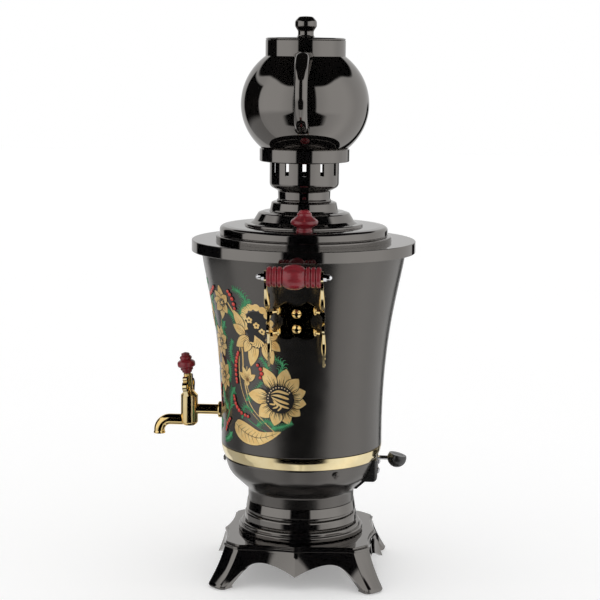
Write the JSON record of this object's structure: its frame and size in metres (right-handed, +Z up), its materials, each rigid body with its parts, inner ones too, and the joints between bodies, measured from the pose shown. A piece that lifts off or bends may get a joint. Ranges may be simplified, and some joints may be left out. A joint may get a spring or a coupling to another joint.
{
  "type": "samovar",
  "caption": "Electric samovar with a tulip-shaped tank on a footed stand, a tap with a key, side handles, and a teapot on a slotted crown over the lid.",
  "frame": {"origin": "on the tank's vertical axis, at the height of the floor that the four toes stand on", "axes": "+Z up; the tap points to -Y, the side handles to +X and -X, the heater switch and the mains inlet to +Y"},
  "size_m": [0.2572, 0.2263, 0.4808],
  "materials": {
    "satin_black": "satin black enamel",
    "gloss_black": "high-gloss black enamel",
    "glazed_ceramic": "glossy black glazed ceramic",
    "gold": "polished gold-coloured plating",
    "brass": "plain machined brass",
    "red_wood": "dark red lacquer",
    "steel": "zinc-plated",
    "black_steel": "blackened",
    "chrome": "polished",
    "rubber": "matte",
    "black_plastic": "fine matte",
    "wire_sleeve": "silicone sleeve"
  },
  "bodies": {
    "base": {"stand": "gloss_black", "stand_screws": "steel", "stand_nuts": "steel", "bottom_cover": "satin_black", "cover_screws": "steel", "pedestal": "gloss_black", "pedestal_screws": "steel", "pedestal_nuts": "steel", "lower_bowl": "satin_black", "bowl_screws": "black_steel", "gold_band": "gold", "tank": "satin_black", "brim": "gloss_black", "heating_element": "steel", "element_gaskets": "rubber", "element_nuts": "brass", "element_terminals": "brass", "thermal_switch": "black_plastic", "switch_bracket": "steel", "switch_nuts": "steel", "switch_pin": "steel", "wiring": "wire_sleeve", "inlet_housing": "black_plastic", "inlet_socket": "black_plastic", "inlet_pins": "brass", "housing_screws": "steel", "tap_body": "gold", "tap_gasket": "rubber", "tap_inner_seal": "rubber", "tap_nut": "brass", "tap_bonnet": "gold", "tap_stem_seal": "rubber", "right_handle_plate": "gold", "right_handle_cheeks": "gold", "right_handle_grip": "red_wood", "right_handle_rod": "steel", "right_handle_acorn_nuts": "chrome", "right_handle_screws": "gold", "right_handle_seals": "rubber", "right_handle_nuts": "steel", "left_handle_plate": "gold", "left_handle_cheeks": "gold", "left_handle_grip": "red_wood", "left_handle_rod": "steel", "left_handle_acorn_nuts": "chrome", "left_handle_screws": "gold", "left_handle_seals": "rubber", "left_handle_nuts": "steel"},
    "tap_handle": {"tap_key": "gold", "tap_knob": "red_wood"},
    "switch_arm": {"switch_lever": "chrome", "switch_knob": "black_plastic"},
    "lid": {"lid": "gloss_black", "lid_knobs": "red_wood", "lid_knob_screws": "steel"},
    "crown": {"crown": "gloss_black"},
    "teapot": {"teapot": "glazed_ceramic", "teapot_handle": "glazed_ceramic"},
    "teapot_cover": {"teapot_lid": "glazed_ceramic"}
  },
  "joints": [
    {"name": "tap_turn", "type": "hinge", "parent": "base", "child": "tap_handle", "pos_m": [0, -0.0986, 0.1406], "axis": [0, 0, 1], "range_deg": [-82, 8]},
    {"name": "switch_tilt", "type": "hinge", "parent": "base", "child": "switch_arm", "pos_m": [0, 0.05, 0.1012], "axis": [1, 0, 0], "range_deg": [-8, 0]},
    {"name": "lid_lift", "type": "slide", "parent": "base", "child": "lid", "axis": [0, 0, 1], "range_m": [0, 0.06]},
    {"name": "crown_lift", "type": "slide", "parent": "lid", "child": "crown", "axis": [0, 0, 1], "range_m": [0, 0.04]},
    {"name": "teapot_lift", "type": "slide", "parent": "crown", "child": "teapot", "axis": [0, 0, 1], "range_m": [0, 0.04]},
    {"name": "teapot_lid_lift", "type": "slide", "parent": "teapot", "child": "teapot_cover", "axis": [0, 0, 1], "range_m": [0, 0.03]}
  ]
}
